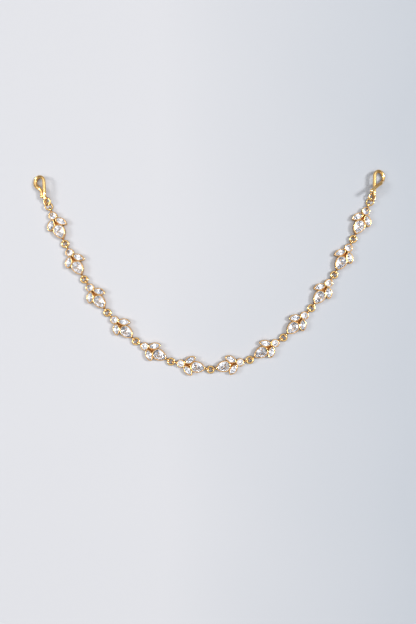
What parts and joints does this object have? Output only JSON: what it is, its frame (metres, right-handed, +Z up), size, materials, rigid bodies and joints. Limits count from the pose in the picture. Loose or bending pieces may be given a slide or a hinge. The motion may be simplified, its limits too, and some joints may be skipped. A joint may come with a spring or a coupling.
{
  "type": "matha patti",
  "caption": "Head chain of gilt clusters, each a round, a pear and paired marquise clear stones in plain cups, joined by jump rings, with a wire hook at each end.",
  "frame": {"origin": "middle of the strand's outline seen from above, on the surface it lies on", "axes": "+X to the right as it lies, +Y from the bottom of the U towards the hooks, +Z up"},
  "size_m": [0.2277, 0.1329, 0.0093],
  "materials": {
    "gilt_metal": "gilt cast and soldered brass, polished, softly worn",
    "gilt_wire": "gilt drawn wire, polished",
    "clear_stone": "clear cut glass, foil-backed, sharp facets"
  },
  "bodies": {
    "root": {"setting_01": "gilt_metal", "setting_02": "gilt_metal", "setting_03": "gilt_metal", "setting_04": "gilt_metal", "setting_05": "gilt_metal", "setting_06": "gilt_metal", "setting_07": "gilt_metal", "setting_08": "gilt_metal", "setting_09": "gilt_metal", "setting_10": "gilt_metal", "setting_11": "gilt_metal", "setting_12": "gilt_metal", "pear_stone_01": "clear_stone", "pear_stone_02": "clear_stone", "pear_stone_03": "clear_stone", "pear_stone_04": "clear_stone", "pear_stone_05": "clear_stone", "pear_stone_06": "clear_stone", "pear_stone_07": "clear_stone", "pear_stone_08": "clear_stone", "pear_stone_09": "clear_stone", "pear_stone_10": "clear_stone", "pear_stone_11": "clear_stone", "pear_stone_12": "clear_stone", "round_stone_01": "clear_stone", "round_stone_02": "clear_stone", "round_stone_03": "clear_stone", "round_stone_04": "clear_stone", "round_stone_05": "clear_stone", "round_stone_06": "clear_stone", "round_stone_07": "clear_stone", "round_stone_08": "clear_stone", "round_stone_09": "clear_stone", "round_stone_10": "clear_stone", "round_stone_11": "clear_stone", "round_stone_12": "clear_stone", "jump_ring_01": "gilt_wire", "jump_ring_02": "gilt_wire", "jump_ring_03": "gilt_wire", "jump_ring_04": "gilt_wire", "jump_ring_05": "gilt_wire", "jump_ring_06": "gilt_wire", "jump_ring_07": "gilt_wire", "jump_ring_08": "gilt_wire", "jump_ring_09": "gilt_wire", "jump_ring_10": "gilt_wire", "jump_ring_11": "gilt_wire", "marquise_stones_outer": "clear_stone", "marquise_stones_inner": "clear_stone", "left_link_b": "gilt_wire", "right_link_b": "gilt_wire", "left_link_a": "gilt_wire", "right_link_a": "gilt_wire", "left_hook": "gilt_wire", "right_hook": "gilt_wire"}
  },
  "joints": []
}
